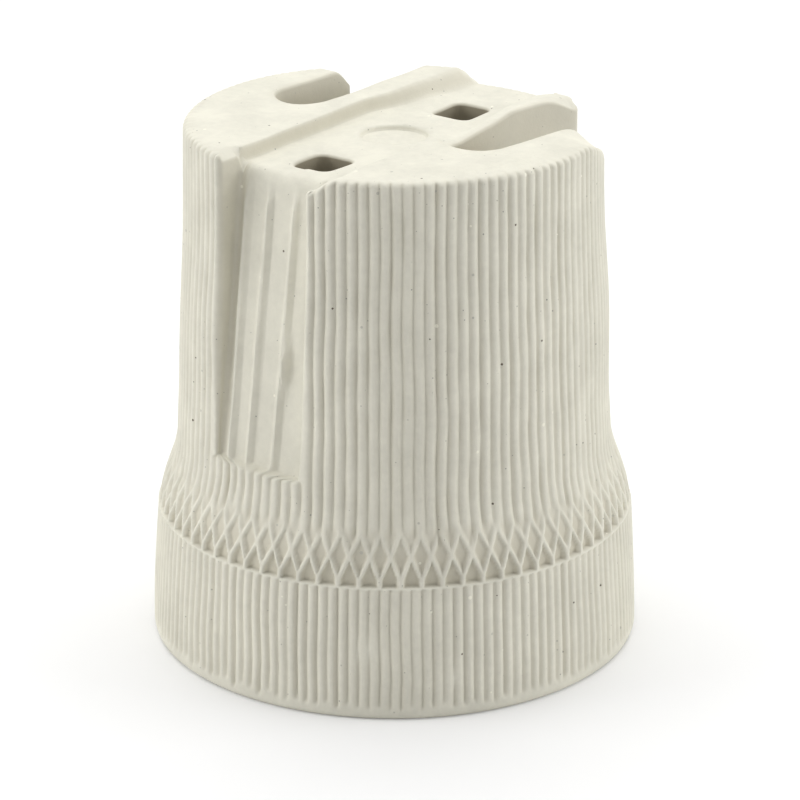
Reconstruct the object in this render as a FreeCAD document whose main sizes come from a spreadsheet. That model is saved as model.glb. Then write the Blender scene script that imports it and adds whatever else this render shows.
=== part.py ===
# Bare porcelain lamp holder for an E27 lamp: a fluted ceramic body open at the
# bottom for the lamp, with a rolled screw shell, a sprung centre contact and two
# wire terminals. Millimetres. Origin at the centre of the mouth rim, +Z up through
# the body. +X is the way the two wire slots open, and the bracket channel runs
# along X, from the bracket notch at -X.
import FreeCAD, Part
import Sketcher
import math
import os

SIZES = (
    # ceramic body, outside
    ("body_height", 47.4, "mouth rim to top faces"),
    ("foot_radius", 22.1, "plain foot below the flange flutes"),
    ("foot_height", 1.2, "height of the plain foot"),
    ("foot_bevel", 0.4, "bevel under the foot"),
    ("flange_radius", 22.05, "crest of the flange flutes at the foot"),
    ("lip_radius", 21.5, "crest of the flange flutes at the lip"),
    ("flange_height", 12.2, "mouth rim to the lip"),
    ("flare_radius", 21.2, "flare just above the lip"),
    ("flare_top_radius", 19.8, "flare where the barrel flutes start"),
    ("flare_height", 4.6, "lip to the start of the barrel flutes"),
    ("top_radius", 18.33, "barrel crest under the top bevel"),
    ("top_bevel", 0.7, "bevel round the top faces"),
    ("flange_flutes", 148, "flutes round the flange"),
    ("barrel_flutes", 123, "flutes round the barrel"),
    ("flute_depth", 0.24, "crest to groove"),
    ("lattice_cells", 74, "triangles and diamonds round the flare"),
    ("flute_inset", 0.02, "barrel crests inside the top of the flare"),
    ("lattice_rib", 0.5, "width of the crossed ribs"),
    ("lattice_depth", 0.35, "depth of the pockets between the ribs"),
    # ceramic body, top and side
    ("channel_foot", 5.8, "half width of the bracket channel at its floor"),
    ("channel_mouth", 6.2, "half width of the bracket channel at the top"),
    ("channel_depth", 1.3, "depth of the bracket channel"),
    ("land_side", 4.9, "distance of the thin land from the channel's middle"),
    ("land_start", 3.0, "where the thin land starts to rise"),
    ("land_end", 12.0, "where the thin land reaches its height"),
    ("recess_radius", 3.0, "round recess in the middle of the channel"),
    ("recess_depth", 0.4, "depth of the round recess"),
    ("hole_length", 4.4, "bracket hole along the channel"),
    ("hole_width", 3.4, "bracket hole across the channel"),
    ("hole_offset", 10.3, "bracket hole from the axis"),
    ("notch_left", 5.1, "left edge of the bracket notch"),
    ("notch_right", 4.1, "right edge of the bracket notch"),
    ("notch_ledge", 20.4, "height of the notch's bottom ledge"),
    ("notch_low_depth", 18.25, "axis to the notch floor at the ledge"),
    ("notch_high_depth", 14.85, "axis to the notch floor at the channel"),
    ("notch_bevel", 0.95, "bevel from the channel into the notch"),
    ("notch_rib_width", 0.8, "width of the ribs on the notch floor"),
    ("notch_rib_height", 0.4, "height of the ribs on the notch floor"),
    ("notch_rib_top", 43.0, "height at which the ribs end"),
    ("slot_depth", 10.0, "top faces to the floor of the wire slots"),
    ("line_near", 8.8, "line slot, wall beside the channel"),
    ("line_far", 14.0, "line slot, outer wall at its round end"),
    ("line_flare", 0.6, "line slot, outer wall's run-out towards the rim"),
    ("line_end", 0.0, "line slot, its round end"),
    ("neutral_near", 6.2, "neutral slot, wall beside the channel"),
    ("neutral_far", 12.2, "neutral slot, outer wall at its round end"),
    ("neutral_flare", 1.8, "neutral slot, outer wall's run-out towards the rim"),
    ("neutral_end", -2.6, "neutral slot, its round end"),
    ("near_corner", 2.0, "rounding of the slot mouths beside the channel"),
    ("far_corner", 0.9, "rounding of the slot mouths at their outer walls"),
    # ceramic body, inside
    ("mouth_radius", 15.2, "lamp skirt space at the mouth"),
    ("mouth_bevel", 1.0, "bevel at the mouth"),
    ("mouth_depth", 6.5, "depth of the lamp skirt space"),
    ("shell_clearance", 0.12, "thread crest to the shell's bore"),
    ("web_height", 5.9, "ceiling of the shell's bore to the floors of the slots"),
    ("pit_depth", 3.1, "depth of the contact pit in that ceiling"),
    ("pit_clearance", 0.35, "contact strip to the side of its pit"),
    ("pit_back", 2.0, "run of the pit past the axis"),
    ("screw_hole_clearance", 0.35, "fixing screw to its hole in the ceramic"),
    # screw shell
    ("thread_major", 13.275, "inside radius at the thread's widest"),
    ("thread_minor", 12.18, "inside radius at the thread's narrowest"),
    ("thread_pitch", 3.629, "rise in one turn"),
    ("thread_turns", 5, "turns of the rolled thread"),
    ("shell_sheet", 0.4, "thickness of the shell's sheet"),
    ("shell_rim", 2.2, "plain collar at each end of the shell"),
    ("window_radius", 10.4, "window in the shell's floor"),
    ("lug_width", 5.0, "width of the shell's neutral lug"),
    ("lug_reach", 2.6, "lug past the middle of its screw"),
    ("line_gap", 8.6, "gap in the shell's floor under the line screw"),
    # contact, strip and rivet
    ("strip_width", 4.2, "width of the line strip"),
    ("strip_sheet", 0.4, "thickness of the line strip and the contact"),
    ("strip_inner", 5.2, "axis to the line strip's inner end"),
    ("contact_width", 3.8, "width of the centre contact"),
    ("contact_gap", 0.3, "line strip to the centre contact"),
    ("contact_root", 8.2, "axis to the centre contact's fixed end"),
    ("contact_knee", 5.4, "axis to the centre contact's bend"),
    ("contact_drop", 2.6, "depth of the centre contact's tip below its root"),
    ("contact_tip", 1.8, "half length of the centre contact's rounded tip"),
    ("rivet_offset", 7.0, "axis to the rivet"),
    ("rivet_radius", 0.8, "rivet shank"),
    ("rivet_head", 1.5, "rivet head radius"),
    ("rivet_head_height", 0.5, "rivet head height"),
    ("rivet_play", 0.3, "rivet to its hole in the line strip"),
    # terminals and screws
    ("plate_width", 4.4, "width of a terminal plate"),
    ("plate_height", 2.2, "thickness of a terminal plate"),
    ("plate_reach", 7.8, "round end of a terminal plate to its square end"),
    ("plate_play", 0.3, "terminal plate to the slot's wall"),
    ("fixing_x", 2.6, "fixing screws along the slots"),
    ("fixing_offset", 0.4, "fixing screw to the middle of its plate"),
    ("clamp_x", 7.6, "clamp screws along the slots"),
    ("screw_radius", 1.25, "shank of every screw"),
    ("screw_point", 0.3, "bevel at a screw's end"),
    ("screw_play", 0.05, "screw shank to a tapped hole"),
    ("washer_play", 0.1, "screw shank to a washer's hole"),
    ("head_radius", 2.2, "screw head"),
    ("head_height", 1.6, "height of a screw head"),
    ("drive_width", 0.6, "width of the screwdriver slot"),
    ("drive_depth", 0.7, "depth of the screwdriver slot"),
    ("fixing_short", 0.3, "fixing screw's end below the top of its plate"),
    ("washer_sheet", 0.8, "thickness of a clamp washer"),
    ("washer_side", 4.2, "side of a clamp washer"),
    ("washer_lift", 0.3, "clamp washer above its plate when screwed down"),
    ("clamp_short", 0.3, "clamp screw's end above the slot floor"),
    ("spring_height", 0.6, "height of a spring washer"),
    ("spring_radius", 2.1, "outside of a spring washer"),
    ("spring_split", 0.5, "gap in a spring washer"),
)
NOTCH_RIBS = (4.0, 1.8, -1.0)
FLUTE_SHAPE = ((0.0, 1.0), (0.32, 0.0), (0.68, 0.0))
SHELL_SIDES = 18
TURN_STEPS = 4
OUTSIDE = 3.0
SLOT_FLOOR = "(sizes.body_height - sizes.slot_depth)"
CEILING = "(sizes.body_height - sizes.slot_depth - sizes.web_height)"

doc = FreeCAD.newDocument("lamp_holder")
sheet = doc.addObject("Spreadsheet::Sheet", "sizes")


def fill_sheet():
    """Write one row per driving size: its name, its value and what it measures."""
    for row, (alias, value, note) in enumerate(SIZES, start=1):
        sheet.set(f"A{row}", alias)
        sheet.set(f"B{row}", str(value))
        sheet.set(f"C{row}", note)
        sheet.setAlias(f"B{row}", alias)
    doc.recompute()


def size(alias):
    """Read a driving size from the sheet."""
    return float(sheet.get(alias))


def value_of(text):
    """The present value of an expression over the sheet's sizes."""
    return float(sheet.evalExpression(text))


def bind(item, **expressions):
    """Tie properties to the sheet: x, y, z and turn stand for the placement."""
    places = {"x": "Placement.Base.x", "y": "Placement.Base.y", "z": "Placement.Base.z",
              "turn": "Placement.Rotation.Angle"}
    if "turn" in expressions:
        item.Placement = FreeCAD.Placement(FreeCAD.Vector(), FreeCAD.Rotation(FreeCAD.Vector(0, 0, 1), 1))
    for name, text in expressions.items():
        item.setExpression(places.get(name, name), text)
    return item


def box(name, length, width, height, **place):
    """A box, its sizes and place given as expressions."""
    return bind(doc.addObject("Part::Box", name), Length=length, Width=width, Height=height, **place)


def cylinder(name, radius, height, **place):
    """An upright cylinder, its sizes and place given as expressions."""
    return bind(doc.addObject("Part::Cylinder", name), Radius=radius, Height=height, **place)


def cone(name, low, high, height, **place):
    """An upright cone frustum, its sizes and place given as expressions."""
    return bind(doc.addObject("Part::Cone", name), Radius1=low, Radius2=high, Height=height, **place)


def fuse(name, *pieces):
    """Join pieces into one."""
    joined = doc.addObject("Part::MultiFuse", name)
    joined.Shapes = list(pieces)
    return joined


def cut(name, base, tool):
    """Take a tool away from a base."""
    result = doc.addObject("Part::Cut", name)
    result.Base = base
    result.Tool = tool
    return result


def solid_feature(name, shape):
    """A shape worked out from the sheet's sizes, as a document object."""
    feature = doc.addObject("Part::Feature", name)
    feature.Shape = shape
    return feature


def point(x, y, z=0.0):
    return FreeCAD.Vector(x, y, z)


def flat_face(corners):
    """A flat face with straight edges."""
    return Part.Face(Part.makePolygon(corners + corners[:1]))


def ringed_solid(rings):
    """A solid with a flat quadrilateral between each pair of corners of stacked rings.

    Each ring is the one below it moved or scaled, so that the quadrilaterals are flat.
    """
    faces = [flat_face(rings[0]), flat_face(rings[-1])]
    for low, high in zip(rings, rings[1:]):
        for here in range(len(low)):
            after = (here + 1) % len(low)
            faces.append(flat_face([low[here], low[after], high[after], high[here]]))
    solid = Part.Solid(Part.Shell(faces))
    if solid.Volume < 0:
        solid.reverse()
    return solid


def prism(corners, direction):
    """A flat outline carried straight along a direction."""
    return flat_face(corners).extrude(direction)


# ------------------------------------------------------------ ceramic body

def fluted_ring(count, radius, height):
    """One flute after another round a circle: a groove and the two edges of a crest."""
    corners = []
    for flute in range(count):
        for phase, dip in FLUTE_SHAPE:
            angle = 2 * math.pi * (flute + phase) / count
            reach = radius * (1 - dip * size("flute_depth") / size("flange_radius"))
            corners.append(point(reach * math.cos(angle), reach * math.sin(angle), height))
    return corners


def fluted_solid(name, count, stations):
    """A round body with upright flutes, through stations of radius and height."""
    return solid_feature(name, ringed_solid([fluted_ring(count, *station) for station in stations]))


def flare_ring(radius, height):
    """A polygon with one side to each cell of the lattice."""
    cells = int(size("lattice_cells"))
    corners = []
    for cell in range(cells):
        angle = 2 * math.pi * (cell + 0.5) / cells
        corners.append(point(radius * math.cos(angle), radius * math.sin(angle), height))
    return corners


def pocket_tools():
    """The triangles on the lip and the diamonds above them, as a set of cutters.

    Each is a flat outline on the flare's slope, carried inwards square to the slope.
    """
    cells = int(size("lattice_cells"))
    low = size("flange_height")
    rise = size("flare_height")
    run = size("flare_radius") - size("flare_top_radius")
    slope = math.hypot(rise, run)
    outward = point(rise / slope, 0, run / slope)
    upward = point(-run / slope, 0, rise / slope)
    start = point(size("flare_radius"), 0, low) + outward * OUTSIDE
    cell = 2 * math.pi * size("flare_top_radius") / cells
    half = (cell - size("lattice_rib")) / 2
    rib = size("lattice_rib")

    def outline(corners):
        across = point(0, 1, 0)
        return prism([start + across * side + upward * (up * slope) for side, up in corners],
                     outward * -(OUTSIDE + size("lattice_depth")))

    triangle = outline([(-half, 0.03), (half, 0.03), (0, 0.46)])
    diamond = outline([(0, 0.15), (half, 0.59), (0, 1.0 - 0.06 * rib), (-half, 0.59)])
    tools = []
    for turn in range(cells):
        step = 360.0 / cells
        for tool, phase in ((triangle, 0.0), (diamond, 0.5)):
            copy = tool.copy()
            copy.rotate(point(0, 0), point(0, 0, 1), (turn + phase) * step)
            tools.append(copy)
    return solid_feature("lattice_pockets", Part.makeCompound(tools))


def slot_tool(name, side, near, far, flare, end):
    """A wire slot seen from above: a round inner end and two walls that run out to the
    rim, each rounded into it. side is 1 for +Y and -1 for -Y.
    """
    rim = size("top_radius")
    middle = (near + far) / 2
    half = (far - near) / 2
    mouth = far + flare

    def rounded(wall, inside, corner):
        """Where a corner's rounding leaves the wall, bulges, and meets the rim."""
        centre_y = wall + inside * corner
        centre_x = math.sqrt((rim - corner) ** 2 - centre_y ** 2)
        centre = point(centre_x, centre_y)
        leaves = point(centre_x, wall)
        meets = centre * (rim / (rim - corner))
        bulge = (leaves - centre) + (meets - centre)
        bulge.normalize()
        return leaves, centre + bulge * corner, meets

    near_leaves, near_bulge, near_meets = rounded(near, -1, size("near_corner"))
    far_leaves, far_bulge, far_meets = rounded(mouth, 1, size("far_corner"))
    near_start = point(end + half, near)
    far_start = point(end + half, far)
    near_out = near_meets * 1.4
    far_out = far_meets * 1.4
    outer = (near_meets + far_meets) * 0.5
    outer = outer * (1.6 * rim / outer.Length)
    edges = [
        Part.Arc(near_start, point(end, middle), far_start),
        Part.LineSegment(far_start, far_leaves),
        Part.Arc(far_leaves, far_bulge, far_meets),
        Part.LineSegment(far_meets, far_out),
        Part.LineSegment(far_out, outer),
        Part.LineSegment(outer, near_out),
        Part.LineSegment(near_out, near_meets),
        Part.Arc(near_meets, near_bulge, near_leaves),
        Part.LineSegment(near_leaves, near_start),
    ]
    wire = Part.Wire([edge.toShape() for edge in edges])
    shape = Part.Face(wire).extrude(point(0, 0, size("slot_depth") + OUTSIDE))
    if side < 0:
        shape = shape.mirror(point(0, 0), point(0, 1, 0))
    shape.translate(point(0, 0, value_of(SLOT_FLOOR)))
    return solid_feature(name, shape)


def channel_tool():
    """The bracket channel, less the thin land that rises beside the neutral slot."""
    top = size("body_height")
    floor = top - size("channel_depth")
    lean = (size("channel_mouth") - size("channel_foot")) / size("channel_depth")
    over = size("channel_mouth") + lean * OUTSIDE
    reach = size("flange_radius")
    section = [point(-reach, -size("channel_foot"), floor), point(-reach, size("channel_foot"), floor),
               point(-reach, over, top + OUTSIDE), point(-reach, -over, top + OUTSIDE)]
    channel = prism(section, point(2 * reach, 0, 0))
    side = -size("land_side")
    land = prism([point(size("land_start"), side, floor - OUTSIDE),
                  point(reach, side, floor - OUTSIDE),
                  point(reach, side, top - size("foot_bevel")),
                  point(size("land_end"), side, top - size("foot_bevel")),
                  point(size("land_start"), side, floor)],
                 point(0, -OUTSIDE - size("land_side"), 0))
    return solid_feature("bracket_channel", channel.cut(land))


def notch_tool():
    """The tapered bracket notch down the side, less the upright ribs on its floor."""
    top = size("body_height")
    floor = top - size("channel_depth")
    ledge = size("notch_ledge")
    low = -size("notch_low_depth")
    high = -size("notch_high_depth")
    bevel = size("notch_bevel")
    out = -size("flange_radius") - OUTSIDE
    side = -size("notch_right")
    width = size("notch_left") + size("notch_right")
    notch = prism([point(out, side, ledge), point(low, side, ledge), point(high, side, floor - bevel),
                   point(high + bevel, side, floor), point(high + bevel, side, top + OUTSIDE),
                   point(out, side, top + OUTSIDE)], point(0, width, 0))
    taper = (high - low) / (floor - bevel - ledge)
    ribs = []
    for middle in NOTCH_RIBS:
        rib_side = middle - size("notch_rib_width") / 2
        rib_top = size("notch_rib_top")
        rib_x = low + taper * (rib_top - ledge)
        height = size("notch_rib_height")
        ribs.append(prism([point(low, rib_side, ledge), point(low - height, rib_side, ledge),
                           point(rib_x - height, rib_side, rib_top), point(rib_x, rib_side, rib_top)],
                          point(0, size("notch_rib_width"), 0)))
    return solid_feature("bracket_notch", notch.cut(ribs))


def plate_middle(slot):
    """Expression for the distance of a slot's terminal plate from the channel's middle."""
    return f"(sizes.{slot}_near + sizes.plate_play + sizes.plate_width / 2)"


def fixing_place(slot):
    """Expressions for the fixing screw of a slot: along X, and away from the middle."""
    return "sizes.fixing_x", f"({plate_middle(slot)} - sizes.fixing_offset)"


def fixing_polar(slot):
    """Expressions for the same place as a distance from the axis and an angle."""
    along, away = fixing_place(slot)
    sign = "1" if slot == "line" else "-1"
    return f"hypot({along}; {away})", f"({sign} * atan2({away}; {along}))"


def stadium(name, start, end, width, height, **place):
    """A flat bar with a round end at its start and at its end, along its own X."""
    turn = place.get("turn", "0")
    bar = box(name + "_bar", f"{end} - {start}", width, height,
              x=f"{start} * cos({turn}) + {width} / 2 * sin({turn})",
              y=f"{start} * sin({turn}) - {width} / 2 * cos({turn})", z=place["z"], turn=turn)
    first = cylinder(name + "_first", f"{width} / 2", height,
                     x=f"{start} * cos({turn})", y=f"{start} * sin({turn})", z=place["z"])
    last = cylinder(name + "_last", f"{width} / 2", height,
                    x=f"{end} * cos({turn})", y=f"{end} * sin({turn})", z=place["z"])
    return fuse(name, bar, first, last)


def ceramic_hollows():
    """Everything that is hollow in the ceramic body."""
    bore = "(sizes.thread_major + sizes.shell_sheet + sizes.shell_clearance)"
    line_reach, line_turn = fixing_polar("line")
    hollows = [
        cone("mouth_flare", "sizes.mouth_radius + sizes.mouth_bevel", "sizes.mouth_radius",
             "sizes.mouth_bevel"),
        cylinder("mouth_space", "sizes.mouth_radius", "sizes.mouth_depth"),
        cylinder("shell_bore", bore, CEILING),
        stadium("contact_pit", "(-sizes.pit_back)", line_reach,
                "(sizes.strip_width + 2 * sizes.pit_clearance)", "sizes.pit_depth + sizes.shell_sheet",
                z=f"{CEILING} - sizes.shell_sheet", turn=line_turn),
        cylinder("recess", "sizes.recess_radius", "sizes.channel_depth + sizes.recess_depth",
                 z="sizes.body_height - sizes.channel_depth - sizes.recess_depth"),
        channel_tool(),
        notch_tool(),
        slot_tool("line_slot", 1, size("line_near"), size("line_far"), size("line_flare"),
                  size("line_end")),
        slot_tool("neutral_slot", -1, size("neutral_near"), size("neutral_far"),
                  size("neutral_flare"), size("neutral_end")),
    ]
    for number, sign in enumerate(("-", ""), start=1):
        hollows.append(box(f"bracket_hole_{number}", "sizes.hole_length", "sizes.hole_width",
                           "sizes.body_height", x=f"{sign}sizes.hole_offset - sizes.hole_length / 2",
                           y="-sizes.hole_width / 2", z=f"{CEILING} - sizes.shell_sheet"))
    for slot, sign in (("line", ""), ("neutral", "-")):
        along, away = fixing_place(slot)
        hollows.append(cylinder(f"{slot}_fixing_hole", "sizes.screw_radius + sizes.screw_hole_clearance",
                                "sizes.web_height + 2 * sizes.shell_sheet",
                                x=along, y=sign + away, z=f"{CEILING} - sizes.shell_sheet"))
    return fuse("ceramic_hollows", *hollows)


def make_ceramic_body():
    """The ceramic: foot, fluted flange, latticed flare and fluted barrel, hollowed out."""
    top = size("body_height")
    lip = size("flange_height")
    shoulder = lip + size("flare_height")
    bevel = size("top_bevel")
    foot = fuse("foot",
                cone("foot_bevel_ring", "sizes.foot_radius - sizes.foot_bevel", "sizes.foot_radius",
                     "sizes.foot_bevel"),
                cylinder("foot_band", "sizes.foot_radius", "sizes.foot_height - sizes.foot_bevel",
                         z="sizes.foot_bevel"))
    flange = fluted_solid("flange", int(size("flange_flutes")),
                          [(size("flange_radius"), size("foot_height")), (size("lip_radius"), lip)])
    flare = solid_feature("flare", ringed_solid([flare_ring(size("flare_radius"), lip),
                                                 flare_ring(size("flare_top_radius"), shoulder)]))
    lattice = cut("latticed_flare", flare, pocket_tools())
    barrel = fluted_solid("barrel", int(size("barrel_flutes")),
                          [(size("flare_top_radius") - size("flute_inset"), shoulder),
                           (size("top_radius"), top - bevel), (size("top_radius") - bevel, top)])
    blank = fuse("ceramic_blank", foot, flange, lattice, barrel)
    return cut("ceramic_body", blank, ceramic_hollows())


# ------------------------------------------------------------ screw shell

def shell_surface(name, grow):
    """The shell's skin: rings of one polygon, shifted round in a small circle as they
    rise, which is the form of a rolled thread. grow is the sheet's thickness or 0.
    """
    top = value_of(CEILING)
    throw = (size("thread_major") - size("thread_minor")) / 2
    mean = (size("thread_major") + size("thread_minor")) / 2 + grow
    collar = size("thread_major") + grow
    turns = int(size("thread_turns"))
    thread_end = top - size("shell_sheet") - size("shell_rim")
    thread_start = thread_end - turns * size("thread_pitch")

    def ring(radius, height, shift=0.0, angle=0.0):
        corners = []
        for side in range(SHELL_SIDES):
            here = 2 * math.pi * side / SHELL_SIDES
            corners.append(point(shift * math.cos(angle) + radius * math.cos(here),
                                 shift * math.sin(angle) + radius * math.sin(here), height))
        return corners

    bottom = thread_start - size("shell_rim")
    if not grow:
        bottom -= size("shell_sheet")
        top -= size("shell_sheet")
    rings = [ring(collar, bottom), ring(collar, thread_start - size("shell_rim") / 2)]
    for step in range(turns * TURN_STEPS + 1):
        height = thread_start + step * size("thread_pitch") / TURN_STEPS
        rings.append(ring(mean, height, throw, 2 * math.pi * step / TURN_STEPS))
    rings.append(ring(collar, thread_end + size("shell_rim") / 2))
    rings.append(ring(collar, top))
    return solid_feature(name, ringed_solid(rings))


def make_screw_shell():
    """The rolled screw shell, with its turned-in floor, window and neutral lug."""
    outer = shell_surface("shell_outside", size("shell_sheet"))
    inner = shell_surface("shell_inside", 0.0)
    sheet_metal = cut("rolled_sheet", outer, inner)
    reach, turn = fixing_polar("neutral")
    window = cylinder("window_round", "sizes.window_radius", "4 * sizes.shell_sheet",
                      z=f"{CEILING} - 2 * sizes.shell_sheet")
    inner_end = f"({reach} - sizes.lug_reach)"
    lug = box("lug", "sizes.window_radius", "sizes.lug_width", "4 * sizes.shell_sheet",
              x=f"{inner_end} * cos({turn}) + sizes.lug_width / 2 * sin({turn})",
              y=f"{inner_end} * sin({turn}) - sizes.lug_width / 2 * cos({turn})",
              z=f"{CEILING} - 2 * sizes.shell_sheet", turn=turn)
    line_reach, line_turn = fixing_polar("line")
    gap = box("line_side_gap", "sizes.thread_minor", "sizes.line_gap", "4 * sizes.shell_sheet",
              x=f"sizes.line_gap / 2 * sin({line_turn})", y=f"-sizes.line_gap / 2 * cos({line_turn})",
              z=f"{CEILING} - 2 * sizes.shell_sheet", turn=line_turn)
    along, away = fixing_place("neutral")
    lug_hole = cylinder("lug_hole", "sizes.screw_radius + sizes.washer_play", "4 * sizes.shell_sheet",
                        x=along, y="-" + away, z=f"{CEILING} - 2 * sizes.shell_sheet")
    openings = fuse("floor_openings", cut("floor_window", window, lug), gap, lug_hole)
    return cut("screw_shell", sheet_metal, openings)


# ------------------------------------------------------------ contact and strip

def make_line_strip():
    """The flat strip from the line screw towards the axis, under the pit's ceiling."""
    reach, turn = fixing_polar("line")
    low = f"{CEILING} + sizes.pit_depth - sizes.strip_sheet"
    strip = fuse("strip_blank",
                 box("strip_bar", f"{reach} - sizes.strip_inner", "sizes.strip_width",
                     "sizes.strip_sheet",
                     x=f"sizes.strip_inner * cos({turn}) + sizes.strip_width / 2 * sin({turn})",
                     y=f"sizes.strip_inner * sin({turn}) - sizes.strip_width / 2 * cos({turn})",
                     z=low, turn=turn),
                 cylinder("strip_end", "sizes.strip_width / 2", "sizes.strip_sheet",
                          x=f"{reach} * cos({turn})", y=f"{reach} * sin({turn})", z=low))
    holes = fuse("strip_holes",
                 cylinder("strip_screw_hole", "sizes.screw_radius + sizes.washer_play",
                          "sizes.strip_sheet", x=f"{reach} * cos({turn})",
                          y=f"{reach} * sin({turn})", z=low),
                 cylinder("strip_rivet_hole", "sizes.rivet_radius + sizes.rivet_play",
                          "sizes.strip_sheet", x=f"sizes.rivet_offset * cos({turn})",
                          y=f"sizes.rivet_offset * sin({turn})", z=low))
    return cut("line_strip", strip, holes)


def sketch_outline(body, name, corners):
    """A closed sketch of straight lines on a body's own XZ plane.

    corners are pairs of expressions, and each corner is tied to them from the origin.
    """
    sketch = body.newObject("Sketcher::SketchObject", name)
    plane = [item for item in body.Origin.OriginFeatures if item.Role == "XZ_Plane"][0]
    sketch.AttachmentSupport = [(plane, "")]
    sketch.MapMode = "FlatFace"
    count = len(corners)
    places = [point(value_of(across), value_of(along)) for across, along in corners]
    for number in range(count):
        sketch.addGeometry(Part.LineSegment(places[number], places[(number + 1) % count]))
    for number in range(count):
        sketch.addConstraint(Sketcher.Constraint("Coincident", number, 2, (number + 1) % count, 1))
    for number, (across, along) in enumerate(corners):
        for direction, text in (("DistanceX", across), ("DistanceY", along)):
            index = sketch.addConstraint(
                Sketcher.Constraint(direction, -1, 1, number, 1, value_of(text)))
            sketch.setExpression(f"Constraints[{index}]", text)
    return sketch


def turned_body(name, corners):
    """A body turned about Z from half of its outline, given as (radius, height) pairs."""
    body = doc.addObject("PartDesign::Body", name)
    outline = sketch_outline(body, name + "_outline", corners)
    turned = body.newObject("PartDesign::Revolution", name + "_turned")
    turned.Profile = outline
    turned.ReferenceAxis = (outline, ["V_Axis"])
    turned.Angle = 360
    body.Tip = turned
    return body


def make_centre_contact():
    """The sprung leaf: a flat root, a ramp down to the axis and a rounded tip."""
    turn = fixing_polar("line")[1]
    root = f"({CEILING} + sizes.pit_depth - 2 * sizes.strip_sheet - sizes.contact_gap)"
    tip = f"({root} - sizes.contact_drop)"
    lower = [("sizes.contact_root", root), ("sizes.contact_knee", root),
             ("sizes.contact_tip", f"{tip} + sizes.contact_tip / 4"),
             ("sizes.contact_tip / 2", f"{tip} + sizes.contact_tip / 16"),
             ("0", tip), ("-sizes.contact_tip / 2", f"{tip} + sizes.contact_tip / 16"),
             ("-sizes.contact_tip", f"{tip} + sizes.contact_tip / 4")]
    upper = [(across, f"{along} + sizes.strip_sheet") for across, along in reversed(lower)]
    body = doc.addObject("PartDesign::Body", "contact_leaf")
    outline = sketch_outline(body, "contact_outline", lower + upper)
    leaf = body.newObject("PartDesign::Pad", "contact_pad")
    leaf.Profile = outline
    leaf.Midplane = True
    leaf.setExpression("Length", "sizes.contact_width")
    body.Tip = leaf
    hole = cylinder("contact_hole", "sizes.rivet_radius + sizes.screw_play", "3 * sizes.strip_sheet",
                    x="sizes.rivet_offset", z=f"{root} - sizes.strip_sheet")
    return bind(cut("centre_contact", body, hole), turn=turn)


def make_contact_rivet():
    """The rivet through the leaf's root, with its head under the leaf."""
    turn = fixing_polar("line")[1]
    under = f"({CEILING} + sizes.pit_depth - 2 * sizes.strip_sheet - sizes.contact_gap)"
    top = f"({CEILING} + sizes.pit_depth - sizes.strip_sheet / 4)"
    corners = [("0", f"{under} - sizes.rivet_head_height"),
               ("sizes.rivet_head * 0.6", f"{under} - sizes.rivet_head_height"),
               ("sizes.rivet_head", f"{under} - sizes.rivet_head_height / 2"),
               ("sizes.rivet_head", under), ("sizes.rivet_radius", under),
               ("sizes.rivet_radius", top), ("0", top)]
    return bind(turned_body("contact_rivet", corners), x=f"sizes.rivet_offset * cos({turn})",
                y=f"sizes.rivet_offset * sin({turn})")


# ------------------------------------------------------------ terminals and screws

def make_terminal(slot, sign):
    """A terminal plate in the floor of its slot, tapped for its two screws."""
    middle = plate_middle(slot)
    along, away = fixing_place(slot)
    blank = fuse(f"{slot}_plate_blank",
                 box(f"{slot}_plate_bar", "sizes.plate_reach", "sizes.plate_width",
                     "sizes.plate_height", x="sizes.fixing_x",
                     y=f"{sign}{middle} - sizes.plate_width / 2", z=SLOT_FLOOR),
                 cylinder(f"{slot}_plate_end", "sizes.plate_width / 2", "sizes.plate_height",
                          x="sizes.fixing_x", y=f"{sign}{middle}", z=SLOT_FLOOR))
    tapped = "sizes.screw_radius + sizes.screw_play"
    holes = fuse(f"{slot}_plate_holes",
                 cylinder(f"{slot}_fixing_thread", tapped, "sizes.plate_height",
                          x=along, y=sign + away, z=SLOT_FLOOR),
                 cylinder(f"{slot}_clamp_thread", tapped, "sizes.plate_height",
                          x="sizes.clamp_x", y=sign + middle, z=SLOT_FLOOR))
    return cut(f"{slot}_terminal", blank, holes)


def make_screw(name, seat, end, upwards, x, y):
    """A cheese-head screw. seat is the height of the face under its head, end the
    height of its shank's end, and upwards says that the shank points up.
    """
    way = "-" if upwards else "+"
    head = f"({seat} {way} sizes.head_height)"
    corners = [("0", head), ("sizes.head_radius", head), ("sizes.head_radius", seat),
               ("sizes.screw_radius", seat),
               ("sizes.screw_radius", f"{end} {way} sizes.screw_point"),
               ("sizes.screw_radius - sizes.screw_point", end), ("0", end)]
    body = turned_body(name + "_blank", corners)
    low = head if upwards else f"{head} - sizes.drive_depth"
    drive = box(name + "_drive", "2.2 * sizes.head_radius", "sizes.drive_width", "sizes.drive_depth",
                x="-1.1 * sizes.head_radius", y="-sizes.drive_width / 2", z=low)
    return bind(cut(name, body, drive), x=x, y=y)


def make_spring_washer(name, top, x, y):
    """A split ring under a fixing screw's head."""
    disc = cylinder(name + "_disc", "sizes.spring_radius", "sizes.spring_height", x=x, y=y, z=top)
    hole = cylinder(name + "_hole", "sizes.screw_radius + sizes.washer_play", "sizes.spring_height",
                    x=x, y=y, z=top)
    split = box(name + "_split", "sizes.spring_radius", "sizes.spring_split", "sizes.spring_height",
                x=x, y=f"{y} - sizes.spring_split / 2", z=top)
    return cut(name, cut(name + "_ring", disc, hole), split)


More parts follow.
